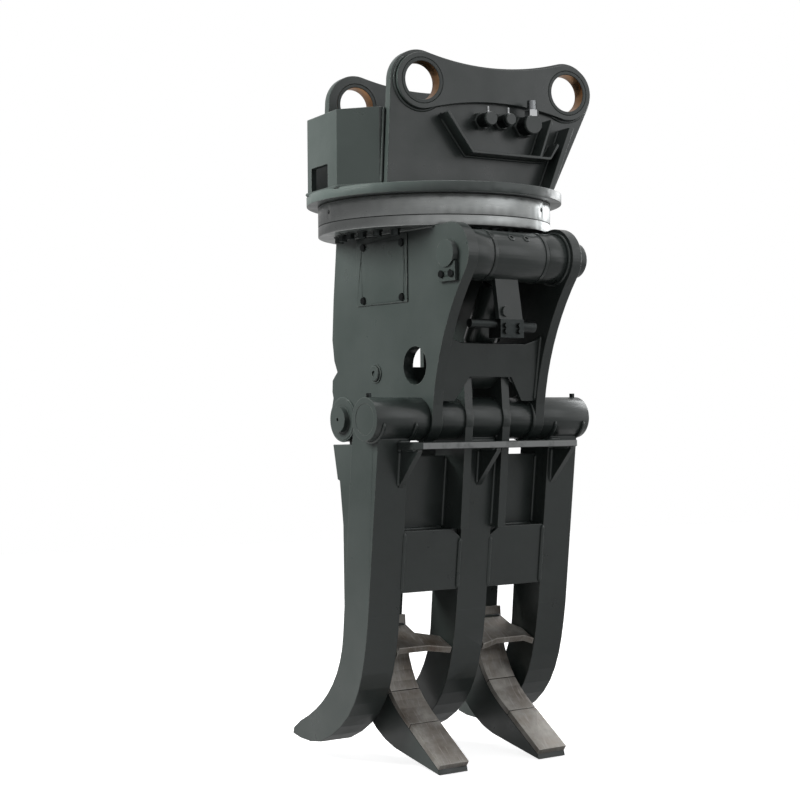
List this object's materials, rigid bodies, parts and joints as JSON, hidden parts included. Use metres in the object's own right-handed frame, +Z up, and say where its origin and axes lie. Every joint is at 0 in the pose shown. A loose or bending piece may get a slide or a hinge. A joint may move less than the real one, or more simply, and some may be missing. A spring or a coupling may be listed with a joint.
{
  "type": "rotating demolition grapple",
  "caption": "Rotating hydraulic grapple for an excavator arm: pinned hanger, geared slewing ring, and interlaced curved tines on hinged jaws opened by a cylinder.",
  "frame": {"origin": "centre of the stick pin bores, midway between the two hanger ears", "axes": "+X from the stick pin to the link pin, +Y along the pins away from the ported ear, +Z up the slewing axis"},
  "size_m": [0.6028, 0.6127, 1.4919],
  "materials": {
    "body_paint": "satin",
    "light_paint": "satin",
    "race_steel": "satin",
    "worn_steel": "worn",
    "dark_steel": "satin",
    "pin_steel": "satin",
    "rod_chrome": "polished",
    "bronze": "satin"
  },
  "bodies": {
    "hanger": {"ear_plate_near": "body_paint", "ear_plate_far": "body_paint", "ear_doublers": "body_paint", "ear_bushes": "bronze", "base_disc": "light_paint", "motor_housing": "light_paint", "cross_web": "body_paint", "port_guard": "body_paint", "port_stubs": "dark_steel", "ear_rib": "body_paint", "slew_motor": "dark_steel", "outer_race": "race_steel", "race_bolts": "dark_steel", "bearing_balls": "race_steel", "swivel_core": "dark_steel"},
    "pinion": {"drive_pinion": "race_steel"},
    "frame": {"slew_flange": "light_paint", "flange_bolts": "dark_steel", "slew_gear": "race_steel", "swivel_housing": "dark_steel", "side_plate_left": "body_paint", "side_plate_right": "body_paint", "front_plate": "body_paint", "back_plate": "body_paint", "cover_plate": "body_paint", "frame_bolts": "dark_steel", "front_hinge_bosses": "body_paint", "rear_hinge_bosses": "body_paint", "front_hinge_pin": "body_paint", "rear_hinge_pins": "body_paint", "top_pin_bosses": "body_paint", "top_pin": "light_paint", "pin_keeper": "body_paint"},
    "rod": {"rod_eye": "body_paint", "piston_rod": "rod_chrome", "valve_bracket": "body_paint", "valve_block": "dark_steel"},
    "barrel": {"cylinder_barrel": "body_paint", "cylinder_gland": "dark_steel", "cylinder_fittings": "dark_steel"},
    "front_jaw": {"jaw_tubes": "body_paint", "front_bushes": "bronze", "front_tine_left": "body_paint", "front_tine_middle": "body_paint", "front_tine_right": "body_paint", "lever_ears": "body_paint", "lever_pin": "pin_steel", "box_beams": "body_paint", "web_panels": "body_paint", "step_plate": "light_paint", "step_gussets": "body_paint", "grease_fittings": "dark_steel"},
    "rear_jaw": {"rear_tube": "body_paint", "rear_bushes": "bronze", "rear_tine_left": "body_paint", "rear_tine_right": "body_paint", "wear_plates_left": "worn_steel", "wear_plates_right": "worn_steel", "catch_plates": "worn_steel", "rear_cross_box": "body_paint"}
  },
  "joints": [
    {"name": "slew", "type": "hinge", "parent": "hanger", "child": "frame", "pos_m": [0.117, 0, -0.262], "axis": [0, 0, 1], "continuous": true},
    {"name": "pinion_spin", "type": "hinge", "parent": "hanger", "child": "pinion", "pos_m": [-0.027, 0, -0.262], "axis": [0, 0, 1], "continuous": true},
    {"name": "front_jaw_hinge", "type": "hinge", "parent": "frame", "child": "front_jaw", "pos_m": [0.13859, -0.1363, -0.703], "axis": [-0.9877, -0.1564, 0], "range_deg": [0, 50]},
    {"name": "rear_jaw_hinge", "type": "hinge", "parent": "frame", "child": "rear_jaw", "pos_m": [0.09541, 0.1363, -0.703], "axis": [0.9877, 0.1564, 0], "range_deg": [0, 50]},
    {"name": "cylinder_swing", "type": "hinge", "parent": "frame", "child": "rod", "pos_m": [0.15611, -0.24692, -0.368], "axis": [0.9877, 0.1564, 0], "range_deg": [0, 10.5]},
    {"name": "cylinder_slide", "type": "slide", "parent": "rod", "child": "barrel", "axis": [-0.0743, 0.4694, -0.8798], "range_m": [0, 0.0802]}
  ],
  "couplings": [
    {"joint": "pinion_spin", "follows": "slew", "ratio": 4},
    {"joint": "rear_jaw_hinge", "follows": "front_jaw_hinge", "ratio": 1},
    {"joint": "cylinder_swing", "follows": "front_jaw_hinge", "ratio": 0.2},
    {"joint": "cylinder_slide", "follows": "front_jaw_hinge", "m_per_rad": 0.0915}
  ]
}
